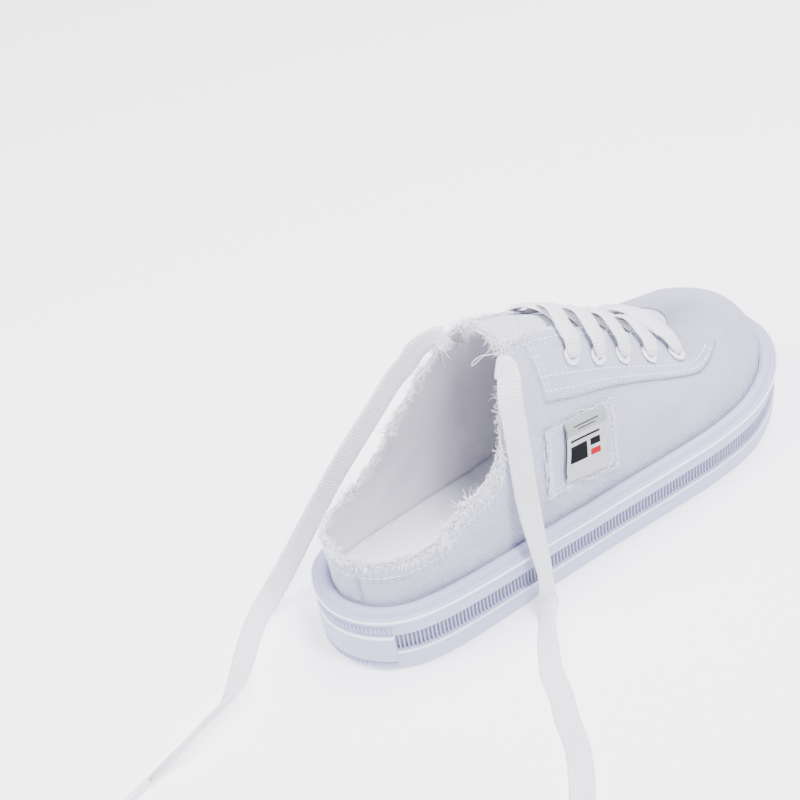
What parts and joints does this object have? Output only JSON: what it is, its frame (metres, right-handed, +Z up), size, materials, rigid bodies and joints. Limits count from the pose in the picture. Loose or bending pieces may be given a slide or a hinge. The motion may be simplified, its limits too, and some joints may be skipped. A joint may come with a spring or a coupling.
{
  "type": "low-backed canvas sneaker",
  "caption": "Right low-backed canvas sneaker on a thick moulded rubber cupsole, laced loosely over a padded tongue, with frayed collar edges.",
  "frame": {"origin": "on the floor under the middle of the shoe, loose lace ends not counted", "axes": "+Y to the toe, +X to the outer side of the foot, +Z up"},
  "size_m": [0.2144, 0.3744, 0.1165],
  "materials": {
    "moulded_rubber": "satin white",
    "canvas": "white woven cotton",
    "tongue_canvas": "white woven cotton",
    "insole_cloth": "light cloth",
    "patch_canvas": "white woven cotton",
    "label_cloth": "woven satin",
    "frayed_cotton": "raw threads",
    "lace_cloth": "flat braid",
    "aglet_film": "clear film",
    "eyelet_enamel": "white enamel"
  },
  "bodies": {
    "root": {"aglet_inner": "aglet_film", "aglet_outer": "aglet_film", "collar_fringe": "frayed_cotton", "eyelet_inner_1": "eyelet_enamel", "eyelet_inner_2": "eyelet_enamel", "eyelet_inner_3": "eyelet_enamel", "eyelet_inner_4": "eyelet_enamel", "eyelet_inner_5": "eyelet_enamel", "eyelet_outer_1": "eyelet_enamel", "eyelet_outer_2": "eyelet_enamel", "eyelet_outer_3": "eyelet_enamel", "eyelet_outer_4": "eyelet_enamel", "eyelet_outer_5": "eyelet_enamel", "insole": "insole_cloth", "lace_bar": "lace_cloth", "lace_crossing_1": "lace_cloth", "lace_crossing_2": "lace_cloth", "lace_crossing_3": "lace_cloth", "lace_crossing_4": "lace_cloth", "lace_end_inner": "lace_cloth", "lace_end_outer": "lace_cloth", "side_patch": "patch_canvas", "sole": "moulded_rubber", "tongue": "tongue_canvas", "tongue_fringe": "frayed_cotton", "upper": "canvas", "woven_label": "label_cloth"}
  },
  "joints": []
}
